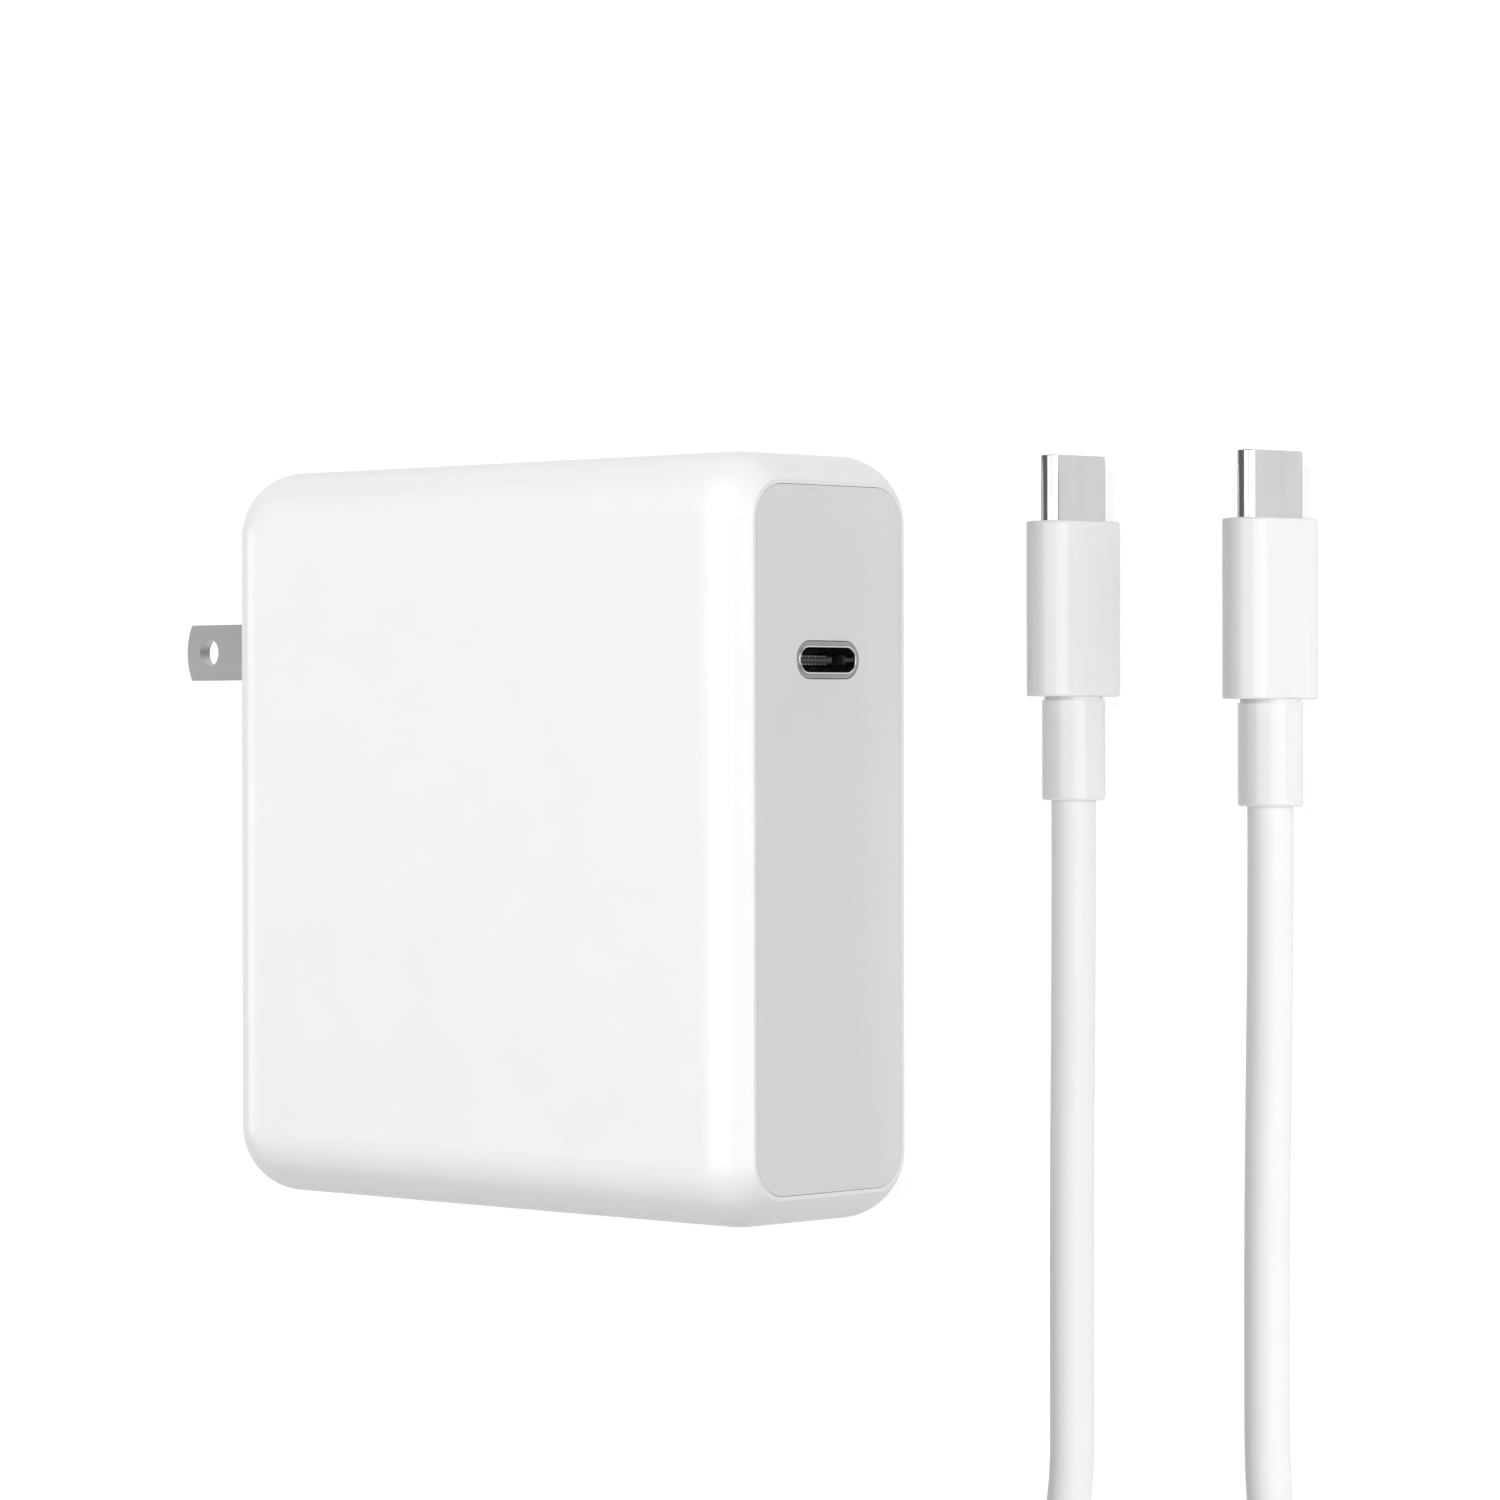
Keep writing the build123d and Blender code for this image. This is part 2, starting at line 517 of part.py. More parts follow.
def make_core(xs, ys, zs, yoke, leg_r):
    """A ferrite pot core: two side walls, top and bottom yokes and a round centre leg along Z."""
    mid = ((xs[0] + xs[1]) / 2, (ys[0] + ys[1]) / 2)
    with BuildPart() as core:
        block(xs, ys, zs)
        inner_x = (xs[0] + yoke, xs[1] - yoke)
        window_z = (zs[0] + yoke, zs[1] - yoke)
        block(inner_x, (ys[0] - 1, ys[1] + 1), window_z, Mode.SUBTRACT)
        upright_cylinder(*mid, *window_z, leg_r)
    return core.part


def make_winding(xs, ys, zs, yoke, leg_r):
    """The bobbin and its windings round the centre leg, as one wound drum."""
    mid = ((xs[0] + xs[1]) / 2, (ys[0] + ys[1]) / 2)
    drum_r = (xs[1] - xs[0]) / 2 - yoke - 0.3
    z0, z1 = zs[0] + yoke + 0.1, zs[1] - yoke - 0.1
    with BuildPart() as drum:
        upright_cylinder(*mid, z0, z1, drum_r - 0.8)
        upright_cylinder(*mid, z0, z0 + 0.8, drum_r)
        upright_cylinder(*mid, z1 - 0.8, z1, drum_r)
        upright_cylinder(*mid, z0, z1, leg_r + 0.1, Mode.SUBTRACT)
    return drum.part


INDUCTOR = (INDUCTOR_X, INDUCTOR_Y, INDUCTOR_Z, 2.2, 3.2)
TRANSFORMER = (TRANSFORMER_X, TRANSFORMER_Y, TRANSFORMER_Z, 2.6, 4.2)
save(make_core(*INDUCTOR), "pfc_inductor_core")
save(make_winding(*INDUCTOR), "pfc_inductor_winding")
save(make_core(*TRANSFORMER), "transformer_core")
save(make_winding(*TRANSFORMER), "transformer_winding")

SINK_X, SINK_Y, SINK_TOP, SINK_T = (1.2, 2.8), (15.4, 33.4), 22.8, 1.2
with BuildPart() as primary_heat_sink:
    block(SINK_X, SINK_Y, (BOARD_TOP, SINK_TOP))
    block((SINK_X[1], 8.0), SINK_Y, (SINK_TOP - SINK_T, SINK_TOP))
save(primary_heat_sink.part, "primary_heat_sink")

TAB_T, TO_BODY_T, TO_W = 1.3, 3.1, 7.4  # package: metal tab, moulded body and width
with BuildPart() as power_transistors:
    tab_x = (SINK_X[1], SINK_X[1] + TAB_T)
    body_x = (tab_x[1], tab_x[1] + TO_BODY_T)
    for y in (16.0, 25.4):
        block(tab_x, (y, y + TO_W), (BOARD_TOP + 2, SINK_TOP - SINK_T - 0.4))
        block(body_x, (y, y + TO_W), (BOARD_TOP + 2, 15.2))
        for i in range(3):
            leg_y = y + 1.4 + i * 2.3
            block((5.0, 5.5), (leg_y - 0.4, leg_y + 0.4), (BOARD_TOP, BOARD_TOP + 2))
save(power_transistors.part, "power_transistors")

OPTO_X, OPTO_Y = (10.6, 15.2), (26.4, 32.8)
with BuildPart() as optocoupler:
    block(OPTO_X, OPTO_Y, (BOARD_TOP + 0.4, BOARD_TOP + 3.8))
    for x in (OPTO_X[0] + 1.0, OPTO_X[1] - 1.0):
        for y in (OPTO_Y[0] - 0.4, OPTO_Y[1] + 0.4):
            block((x - 0.3, x + 0.3), (y - 0.4, y + 0.4), (BOARD_TOP, BOARD_TOP + 2))
save(optocoupler.part, "optocoupler")

CONTROL_X, CONTROL_Y = (7.8, 13.8), (-32.0, -24.0)
with BuildPart() as control_chip:
    block(CONTROL_X, CONTROL_Y, (BOARD_TOP + 0.1, BOARD_TOP + 1.8))
    legs_x = (CONTROL_X[0] - 1.0, CONTROL_X[1] + 1.0)
    for i in range(6):
        leg_y = CONTROL_Y[0] + 1.0 + i * 1.2
        block(legs_x, (leg_y - 0.2, leg_y + 0.2), (BOARD_TOP, BOARD_TOP + 0.4))
save(control_chip.part, "control_chip")

SINK_2_X, SINK_2_Y, SINK_2_TOP = (17.6, 34.6), (-23.0, -21.6), 21.0
with BuildPart() as secondary_heat_sink:
    block(SINK_2_X, SINK_2_Y, (BOARD_TOP, SINK_2_TOP))
save(secondary_heat_sink.part, "secondary_heat_sink")

RECTIFIER_X, RECTIFIER_T = (21.0, 31.0), 4.2
with BuildPart() as sync_rectifier:
    body_y = (SINK_2_Y[1], SINK_2_Y[1] + RECTIFIER_T)
    block(RECTIFIER_X, body_y, (BOARD_TOP + 2, 17.0))
    for i in range(3):
        leg_x = RECTIFIER_X[0] + 2.5 + i * 2.5
        block((leg_x - 0.4, leg_x + 0.4), (-19.8, -19.3), (BOARD_TOP, BOARD_TOP + 2))
save(sync_rectifier.part, "sync_rectifier")

CAN_R, CAN_TALL = 4.0, 12.0
CAN_PLACES = ((21.6, -11.0), (30.6, -11.0), (22.4, -28.6), (31.0, -28.6))
with BuildPart() as output_capacitors:
    for x, y in CAN_PLACES:
        upright_cylinder(x, y, BOARD_TOP, BOARD_TOP + CAN_TALL, CAN_R)
    fillet(output_capacitors.edges().group_by(Axis.Z)[-1], 0.5)
save(output_capacitors.part, "output_capacitors")


def make_spreader(cut_away):
    """One half of a folded sheet that wraps the boards on four sides."""
    with BuildPart() as sheet:
        with BuildSketch(end_plane(BOARD_X0)):
            RectangleRounded(2 * SPREAD_Y, 2 * SPREAD_HALF_Z, SPREAD_R)
            inner = (2 * (SPREAD_Y - SHEET_T), 2 * (SPREAD_HALF_Z - SHEET_T))
            RectangleRounded(*inner, SPREAD_R - SHEET_T, mode=Mode.SUBTRACT)
        extrude(amount=BOARD_X1 - BOARD_X0)
        block((BOARD_X0 - 1, BOARD_X1 + 1), (-WIDTH, WIDTH), cut_away, Mode.SUBTRACT)
    return sheet.part


save(make_spreader((0, SPREAD_SPLIT_Z)), "upper_heat_spreader")
save(make_spreader((SPREAD_SPLIT_Z - 0.4, THICK)), "lower_heat_spreader")

FILM_HALF_Y, FILM_Z = 32.6, (4.7, 4.95)
with BuildPart() as insulating_film:
    block((BOARD_X0, BOARD_X1), (-FILM_HALF_Y, FILM_HALF_Y), FILM_Z)
save(insulating_film.part, "insulating_film")

PAD_IN_X, PAD_IN_Y = 2.4, 1.6  # the pad stops this far inside the transformer core
with BuildPart() as thermal_pad:
    pad_x = (TRANSFORMER_X[0] + PAD_IN_X, TRANSFORMER_X[1] - PAD_IN_X)
    pad_y = (TRANSFORMER_Y[0] + PAD_IN_Y, TRANSFORMER_Y[1] - PAD_IN_Y)
    block(pad_x, pad_y, (TRANSFORMER_Z[1], SPREAD_TOP))
save(thermal_pad.part, "thermal_pad")


# ---------------------------------------------------------------- charge cable
LEAN = radians(PLUG_LEAN)


def plug_plane(x, y):
    """Sketch plane across a plug, facing +Y: local x is the wide way, local y its flat face."""
    wide = (-sin(LEAN), 0, cos(LEAN))
    return Plane(origin=(x, y, PLUG_Z), x_dir=wide, z_dir=(0, 1, 0))


def make_plug(tag, x, y):
    """One USB-C plug with its grip's root at (x, y), pointing along +Y."""
    grip_end = y + GRIP_L
    shell_root = grip_end - SHELL_IN
    liner_w, liner_t = SHELL_W - 2 * SHELL_WALL, SHELL_T - 2 * SHELL_WALL
    with BuildPart() as shell:
        with BuildSketch(plug_plane(x, shell_root)):
            SlotOverall(SHELL_W, SHELL_T)
            SlotOverall(liner_w, liner_t, mode=Mode.SUBTRACT)
        extrude(amount=SHELL_IN + SHELL_OUT)
        rim = shell.faces().sort_by(Axis.Y)[-1]
        fillet(rim.outer_wire().edges(), SHELL_EDGE_R)
    save(shell.part, f"plug_{tag}_shell")
    liner_long = SHELL_IN + SHELL_OUT - SHELL_WALL
    with BuildPart() as insert:
        with BuildSketch(plug_plane(x, shell_root)):
            SlotOverall(liner_w, liner_t)
        extrude(amount=liner_long)
        with BuildSketch(plug_plane(x, shell_root + liner_long - MOUTH_DEEP)):
            Rectangle(MOUTH_W, MOUTH_T)
        extrude(amount=MOUTH_DEEP, mode=Mode.SUBTRACT)
    save(insert.part, f"plug_{tag}_insert")
    with BuildPart() as contacts:
        for side in (-1, 1):
            with BuildSketch(plug_plane(x, shell_root + liner_long - MOUTH_DEEP)):
                with Locations((0, side * (MOUTH_T - PLUG_CONTACT_T) / 2)):
                    with GridLocations(CONTACT_PITCH, 0, CONTACTS_PER_SIDE, 1):
                        Rectangle(CONTACT_W, PLUG_CONTACT_T)
            extrude(amount=MOUTH_DEEP - 0.8)
    save(contacts.part, f"plug_{tag}_contacts")
    with BuildPart() as grip:
        with BuildSketch(plug_plane(x, y)):
            SlotOverall(GRIP_W, GRIP_T)
        extrude(amount=GRIP_L)
        rims = grip.edges().group_by(Axis.Y)
        fillet(rims[0] + rims[-1], GRIP_EDGE_R)
        with BuildSketch(plug_plane(x, shell_root)):
            SlotOverall(SHELL_W, SHELL_T)
        extrude(amount=SHELL_IN, mode=Mode.SUBTRACT)
    save(grip.part, f"plug_{tag}_grip")
    with BuildPart() as relief:
        with BuildSketch(plug_plane(x, y)):
            Circle(RELIEF_D / 2 - NECK_IN)
        extrude(amount=-NECK_L)
        with BuildSketch(plug_plane(x, y - NECK_L)):
            Circle(RELIEF_D / 2)
        extrude(amount=-(RELIEF_L - NECK_L))
        lip = relief.edges().group_by(Axis.Y)[0]
        fillet(lip, RELIEF_EDGE_R)
    save(relief.part, f"plug_{tag}_strain_relief")


make_plug("a", *PLUG_A)
make_plug("b", *PLUG_B)


def bend_radii(route):
    """For each inner point, 0.45 of the shorter run over the tangent of half the turn."""
    radii = []
    for before, at, after in zip(route, route[1:], route[2:]):
        run_in = Vector(*at) - Vector(*before)
        run_out = Vector(*after) - Vector(*at)
        half_turn = radians(run_in.get_angle(run_out)) / 2
        radii.append(0.45 * min(run_in.length, run_out.length) / tan(half_turn))
    return radii


def make_tail(route, name):
    """One free run of the cord, checked against its section times its length."""
    radii = bend_radii(route)
    tube = round_tube(route, radii, CORD_D / 2)
    with BuildLine() as path:
        FilletPolyline(route, radius=radii)
    length = sum(edge.length for edge in path.edges())
    share = tube.volume / (pi * CORD_D**2 / 4 * length)
    runs = [(Vector(*b) - Vector(*a)).length for a, b in zip(route, route[1:])]
    print(f"{name}: length {length:.1f} mm, volume share {share:.4f}")
    print("  radii", [round(r) for r in radii], "runs", [round(r, 1) for r in runs])
    save(tube, name)


make_tail(ROUTE_A, "cord_tail_a")
make_tail(ROUTE_B, "cord_tail_b")

COIL_AXIS = Axis((COIL_X, COIL_Y, 0), (0, 0, 1))
COIL_IN = COIL_MEAN_R - COIL_COLUMNS / 2 * CORD_D
COIL_OUT = COIL_MEAN_R + COIL_COLUMNS / 2 * CORD_D
COIL_MID_Z = (COIL_Z0 + COIL_Z1) / 2
with BuildPart() as cord_coil:
    with BuildSketch(Plane.XZ.offset(-COIL_Y)):
        with Locations((COIL_X + COIL_MEAN_R, COIL_MID_Z)):
            RectangleRounded(COIL_OUT - COIL_IN, COIL_Z1 - COIL_Z0, CORD_D / 2)
    revolve(axis=COIL_AXIS)
save(cord_coil.part, "cord_coil")

# The tie hugs the bundle at its far side from the plugs.
TIE_MID_ANGLE = radians(270)
tie_start = TIE_MID_ANGLE - radians(TIE_ARC) / 2
tie_plane = Plane(
    origin=(COIL_X, COIL_Y, 0),
    x_dir=(cos(tie_start), sin(tie_start), 0),
    z_dir=(sin(tie_start), -cos(tie_start), 0),
)
with BuildPart() as cable_tie:
    with BuildSketch(tie_plane):
        with Locations((COIL_MEAN_R, COIL_MID_Z)):
            tie_w, tie_h = COIL_OUT - COIL_IN + 0.1, COIL_Z1 - COIL_Z0
            RectangleRounded(tie_w + 2 * TIE_T, tie_h + 2 * TIE_T, CORD_D / 2 + TIE_T)
            RectangleRounded(tie_w, tie_h, CORD_D / 2, mode=Mode.SUBTRACT)
    revolve(axis=COIL_AXIS, revolution_arc=TIE_ARC)
save(cable_tie.part, "cable_tie")
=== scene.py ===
"""Looks of a square USB-C wall adapter and its charge cable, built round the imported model. Metres.

The adapter lies on its back face, with the loose cable beside it and the cable's length tied in a coil.
"""

import json
import math

import bpy
from mathutils import Matrix, Vector


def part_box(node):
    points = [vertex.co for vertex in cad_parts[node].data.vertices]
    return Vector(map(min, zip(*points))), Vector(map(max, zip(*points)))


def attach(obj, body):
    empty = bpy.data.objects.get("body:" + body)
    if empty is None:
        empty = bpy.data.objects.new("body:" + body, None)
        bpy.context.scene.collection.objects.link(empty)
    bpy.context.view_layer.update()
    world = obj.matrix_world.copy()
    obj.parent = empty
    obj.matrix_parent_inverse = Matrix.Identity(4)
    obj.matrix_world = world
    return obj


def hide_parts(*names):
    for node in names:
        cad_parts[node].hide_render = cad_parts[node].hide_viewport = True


MM = 0.001

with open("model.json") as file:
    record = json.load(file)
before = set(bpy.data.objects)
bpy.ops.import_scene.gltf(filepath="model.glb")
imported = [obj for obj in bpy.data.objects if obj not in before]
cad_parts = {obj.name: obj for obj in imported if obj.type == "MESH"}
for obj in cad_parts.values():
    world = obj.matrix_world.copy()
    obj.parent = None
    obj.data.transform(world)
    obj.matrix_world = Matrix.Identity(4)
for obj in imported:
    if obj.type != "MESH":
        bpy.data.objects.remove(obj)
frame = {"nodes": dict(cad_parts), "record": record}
NODES = frame["nodes"]
SLOT_OF = {part["node"]: part["material_slot"] for part in frame["record"]["subparts"]}
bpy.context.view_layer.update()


def box_centre(node):
    """The middle of a CAD node's box."""
    low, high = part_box(node)
    return (low + high) / 2


# ---------------------------------------------------------------- camera
CAMERA_PLACE = Vector((0.4139, 0.0112, 0.4213))
CAMERA_RIGHT = Vector((0.72649, -0.00171, -0.68718))
CAMERA_BACK = Vector((0.68718, 0.00361, 0.72648))
SENSOR = 36.0
LENS = 128.4
CLIP_NEAR, CLIP_FAR = 0.01, 20


def make_camera():
    """The camera looks down at the front face and the port end, with +Y up in the picture."""
    data = bpy.data.cameras.new("camera")
    data.sensor_width = SENSOR
    data.lens = LENS
    data.clip_start = CLIP_NEAR
    data.clip_end = CLIP_FAR
    camera = bpy.data.objects.new("camera", data)
    bpy.context.scene.collection.objects.link(camera)
    back = CAMERA_BACK.normalized()
    up = back.cross(CAMERA_RIGHT).normalized()
    right = up.cross(back)
    turn = Matrix((right, up, back)).transposed()
    camera.matrix_world = Matrix.Translation(CAMERA_PLACE) @ turn.to_4x4()
    bpy.context.scene.camera = camera


# ---------------------------------------------------------------- cord
CORD_D = 4.5 * MM
CORD_ROUNDNESS = 6  # the cord's section has 4 facets, and 2 more for each of these
CORD_STEPS = 6  # pieces of the curve between two of its points
PLUG_Z = 5.441  # height of the cord's middle where it leaves a plug, in millimetres

# The free runs, in millimetres, from each strain relief to the coil.
ROUTE_A = [
    (65.6, 4.1, PLUG_Z),
    (65.6, -8.0, PLUG_Z),
    (64.14, -22.0, 3.9),
    (62.9, -38.0, 2.6),
    (62.6, -54.0, 2.26),
    (62.65, -68.0, 2.27),
    (58.6, -80.0, 2.35),
    (51.0, -90.0, 2.55),
    (46.4, -100.0, 2.9),
    (46.15, -111.0, 3.05),
]
ROUTE_B = [
    (90.7, 3.7, PLUG_Z),
    (90.7, -8.5, PLUG_Z),
    (89.15, -23.0, 3.8),
    (88.0, -38.0, 2.6),
    (87.7, -52.0, 2.26),
    (88.1, -65.0, 2.7),
    (92.5, -77.0, 5.6),
    (99.6, -87.5, 10.6),
    (104.2, -98.5, 15.2),
    (104.65, -111.0, 16.55),
]
COIL_LAYERS = 4
TURNS_PER_LAYER = 3
POINTS_PER_TURN = 24
WHOLE_TURN, HALF_TURN = 360.0, 180.0
CHANGE_FROM = 270.0  # each turn moves over to the next column or layer after this angle
# A quadratic spline through control points on a circle runs this much inside them.
SPLINE_SHRINK = (1 + math.cos(2 * math.pi / POINTS_PER_TURN)) / 2


def ease(t):
    """A smooth step from 0 to 1."""
    t = min(max(t, 0.0), 1.0)
    return t * t * (3 - 2 * t)


def coil_points():
    """Control points of the tied coil: layers of turns side by side, wound in and out by turns.

    The winding starts where run A ends, on the -X side, and ends on the +X side, where run B starts.
    """
    centre = box_centre("cord_coil")
    outer_r = ROUTE_B[-1][0] * MM - centre.x
    low_z = ROUTE_A[-1][2] * MM
    rise = (ROUTE_B[-1][2] - ROUTE_A[-1][2]) * MM / (COIL_LAYERS - 1)
    step_turn = WHOLE_TURN / POINTS_PER_TURN
    layer_turn = WHOLE_TURN * TURNS_PER_LAYER
    coil_turn = COIL_LAYERS * layer_turn - HALF_TURN
    points = []
    for i in range(1, int(coil_turn / step_turn)):
        turned = i * step_turn
        layer = int(turned // layer_turn)
        in_layer = turned - layer * layer_turn
        turn = int(in_layer // WHOLE_TURN)
        in_turn = in_layer - turn * WHOLE_TURN
        late = ease((in_turn - CHANGE_FROM) / (WHOLE_TURN - CHANGE_FROM))
        column = turn + (late if turn < TURNS_PER_LAYER - 1 else 0.0)
        if layer % 2:
            column = TURNS_PER_LAYER - 1 - column
        level = layer + (late if turn == TURNS_PER_LAYER - 1 else 0.0)
        r = (outer_r - column * CORD_D) / SPLINE_SHRINK
        angle = math.radians(HALF_TURN + turned)
        x = centre.x + r * math.cos(angle)
        y = centre.y + r * math.sin(angle)
        points.append((x, y, low_z + level * rise))
    return points


def make_cord():
    """The whole cord as one smooth curve from plug A's strain relief to plug B's."""
    run_a = [tuple(v * MM for v in p) for p in ROUTE_A]
    run_b = [tuple(v * MM for v in p) for p in reversed(ROUTE_B)]
    points = run_a + coil_points() + run_b
    curve = bpy.data.curves.new("charge_cord", "CURVE")
    curve.dimensions = "3D"
    # Each point's own radius carries the thickness, because Blender adds it to the curve's box.
    curve.bevel_depth = 1.0
    curve.bevel_resolution = CORD_ROUNDNESS
    curve.resolution_u = CORD_STEPS
    curve.use_fill_caps = True
    spline = curve.splines.new("NURBS")
    spline.points.add(len(points) - 1)
    for point, place in zip(spline.points, points):
        point.co = (*place, 1.0)
        point.radius = CORD_D / 2
    spline.order_u = 3
    spline.use_endpoint_u = True
    cord = bpy.data.objects.new("charge_cord", curve)
    bpy.context.scene.collection.objects.link(cord)
    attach(cord, "charge_cable")
    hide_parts("cord_tail_a", "cord_coil", "cord_tail_b")
    return cord


# ---------------------------------------------------------------- cable tie
STRAP_WIDE = 11.0 * MM
STRAP_THICK = 0.75 * MM
STRAP_LAP = 7.5 * MM  # the free end lies this far over the start of the strap
STRAP_TIP = 4.5 * MM  # length of the rounded tip
LAP_RISE = 3.0 * MM  # length over which the free end climbs onto the start
TIP_BLUNT = 0.02  # square of the tip's width where it ends, as a share of the strap's
STRAP_ROWS, STRAP_COLUMNS = 160, 12
BUNDLE_COLUMNS = 3


def round_bundle(way, half_r, half_z, corner):
    """Place and outward direction some way along a rounded rectangle.

    The way is measured from the middle of the outer side, towards +Z first.
    """
    flats = [half_z - corner, 2 * (half_r - corner), 2 * (half_z - corner), 2 * (half_r - corner)]
    place = Vector((half_r, 0.0))
    outward = Vector((1.0, 0.0))
    while True:
        for flat in flats:
            ahead = Vector((-outward.y, outward.x))
            if way <= flat:
                return place + ahead * way, outward
            way -= flat
            centre = place + ahead * flat - outward * corner
            turn = way / corner
            if turn <= math.pi / 2:
                spun = outward * math.cos(turn) + ahead * math.sin(turn)
                return centre + spun * corner, spun
            way -= corner * math.pi / 2
            place = centre + ahead * corner
            outward = ahead
        flats = [2 * (half_z - corner)] + flats[1:]


def make_tie():
    """A woven strap round the coil's -Y side, its rounded free end lapped over the outside."""
    low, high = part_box("cord_coil")
    centre = box_centre("cord_coil")
    half_r = BUNDLE_COLUMNS * CORD_D / 2
    mid_r = (high.x - low.x) / 2 - half_r
    half_z = (high.z - low.z) / 2
    corner = CORD_D / 2
    round_trip = 4 * (half_r + half_z - 2 * corner) + 2 * math.pi * corner
    long = round_trip + STRAP_LAP
    places = []
    for i in range(STRAP_ROWS + 1):
        way = long * i / STRAP_ROWS
        (r, z), (out_r, out_z) = round_bundle(way, half_r, half_z, corner)
        lift = STRAP_THICK * ease((way - round_trip + LAP_RISE) / LAP_RISE)
        r, z = r + out_r * lift, z + out_z * lift
        from_tip = min((long - way) / STRAP_TIP, 1.0)
        wide = STRAP_WIDE * math.sqrt(max(1 - (1 - from_tip) ** 2, TIP_BLUNT))
        for j in range(STRAP_COLUMNS + 1):
            x = wide * (j / STRAP_COLUMNS - 0.5)
            y = -math.sqrt((mid_r + r) ** 2 - x * x)
            places.append((centre.x + x, centre.y + y, centre.z + z))
    faces = []
    for i in range(STRAP_ROWS):
        for j in range(STRAP_COLUMNS):
            this = i * (STRAP_COLUMNS + 1) + j
            above = this + STRAP_COLUMNS + 1
            faces.append((this, this + 1, above + 1, above))
    mesh = bpy.data.meshes.new("tie_strap")
    mesh.from_pydata(places, [], faces)
    mesh.shade_smooth()
    strap = bpy.data.objects.new("tie_strap", mesh)
    bpy.context.scene.collection.objects.link(strap)
    solid = strap.modifiers.new("thick", "SOLIDIFY")
    solid.thickness = STRAP_THICK
    solid.offset = 1.0
    edge = strap.modifiers.new("soft_edge", "BEVEL")
    edge.width = STRAP_THICK / 4
    edge.segments = 2
    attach(strap, "charge_cable")
    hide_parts("cable_tie")
    return strap


# ---------------------------------------------------------------- materials
NOISE_LOW, NOISE_HIGH = 0.3, 0.7  # nearly all of a noise's values lie between these
MOTTLE_SIZE, SHEEN_SIZE = 9.0, 2.5
COAT_ROUGH = 0.18
PATCH_SIZE = 3.0
LINES_SMOOTHER, LINES_ROUGHER = 0.04, 0.06
WAVE_PERIOD = math.pi / 10  # a wave texture of scale 1 repeats after this much
# share of the wire's tone left in the grooves between turns: painted shade
PAINTED_WIRE_GAP_SHADE = 0.35
WIRE_PATCH_SIZE = 1.5
# share of the tape's tone left in the hollows between yarns: painted shade
PAINTED_YARN_GAP_SHADE = 0.7
FUZZ_SIZE = 0.25
WEAVE_HEIGHT, FUZZ_HEIGHT = 0.12, 0.05
CLOTH_SHEEN = 0.4


def new_material(name):
    """A new material, with its node tree and its shader."""
    material = bpy.data.materials.new("look_" + name)
    material.use_nodes = True
    tree = material.node_tree
    shader = tree.nodes["Principled BSDF"]
    return material, tree, shader


def noise(tree, size, stretch=(1, 1, 1), detail=2.0):
    """Noise whose features are about that many millimetres, in the row frame, drawn out by stretch."""
    place = tree.nodes.new("ShaderNodeTexCoord")
    scale = tree.nodes.new("ShaderNodeMapping")
    scale.inputs["Scale"].default_value = [1 / (size * MM * s) for s in stretch]
    field = tree.nodes.new("ShaderNodeTexNoise")
    field.inputs["Scale"].default_value = 1.0
    field.inputs["Detail"].default_value = detail
    tree.links.new(place.outputs["Object"], scale.inputs["Vector"])
    tree.links.new(scale.outputs["Vector"], field.inputs["Vector"])
    return field.outputs["Fac"]


def spread(tree, value, low, high):
    """Maps the middle of a noise to a range."""
    ramp = tree.nodes.new("ShaderNodeMapRange")
    ramp.inputs["From Min"].default_value = NOISE_LOW
    ramp.inputs["From Max"].default_value = NOISE_HIGH
    ramp.inputs["To Min"].default_value = low
    ramp.inputs["To Max"].default_value = high
    tree.links.new(value, ramp.inputs["Value"])
    return ramp.outputs["Result"]


def two_tone(tree, value, dark, light):
    """A colour between two tones."""
    mix = tree.nodes.new("ShaderNodeMix")
    mix.data_type = "RGBA"
    mix.inputs["A"].default_value = (*dark, 1)
    mix.inputs["B"].default_value = (*light, 1)
    tree.links.new(value, mix.inputs["Factor"])
    return mix.outputs["Result"]


def bump(tree, shader, value, height, strength=1.0):
    """Raises the surface by a height in millimetres, over any bump already there."""
    node = tree.nodes.new("ShaderNodeBump")
    node.inputs["Strength"].default_value = strength
    node.inputs["Distance"].default_value = height * MM
    tree.links.new(value, node.inputs["Height"])
    before = shader.inputs["Normal"].links
    if before:
        tree.links.new(before[0].from_socket, node.inputs["Normal"])
    tree.links.new(node.outputs["Normal"], shader.inputs["Normal"])


def moulded(name, tone, rough, grain=0.3, grain_height=0.001, shade=0.015, coat=0.0, uneven=0.02):
    """Moulded plastic or rubber: fine spark-eroded grain, a slight mottle and uneven sheen."""
    material, tree, shader = new_material(name)
    mottle = spread(tree, noise(tree, MOTTLE_SIZE), 0.0, 1.0)
    dark = [c * (1 - shade) for c in tone]
    tree.links.new(two_tone(tree, mottle, dark, tone), shader.inputs["Base Color"])
    sheen = spread(tree, noise(tree, SHEEN_SIZE, detail=4.0), rough - uneven, rough + uneven)
    tree.links.new(sheen, shader.inputs["Roughness"])
    bump(tree, shader, noise(tree, grain, detail=3.0), grain_height)
    shader.inputs["Coat Weight"].default_value = coat
    shader.inputs["Coat Roughness"].default_value = COAT_ROUGH
    return material


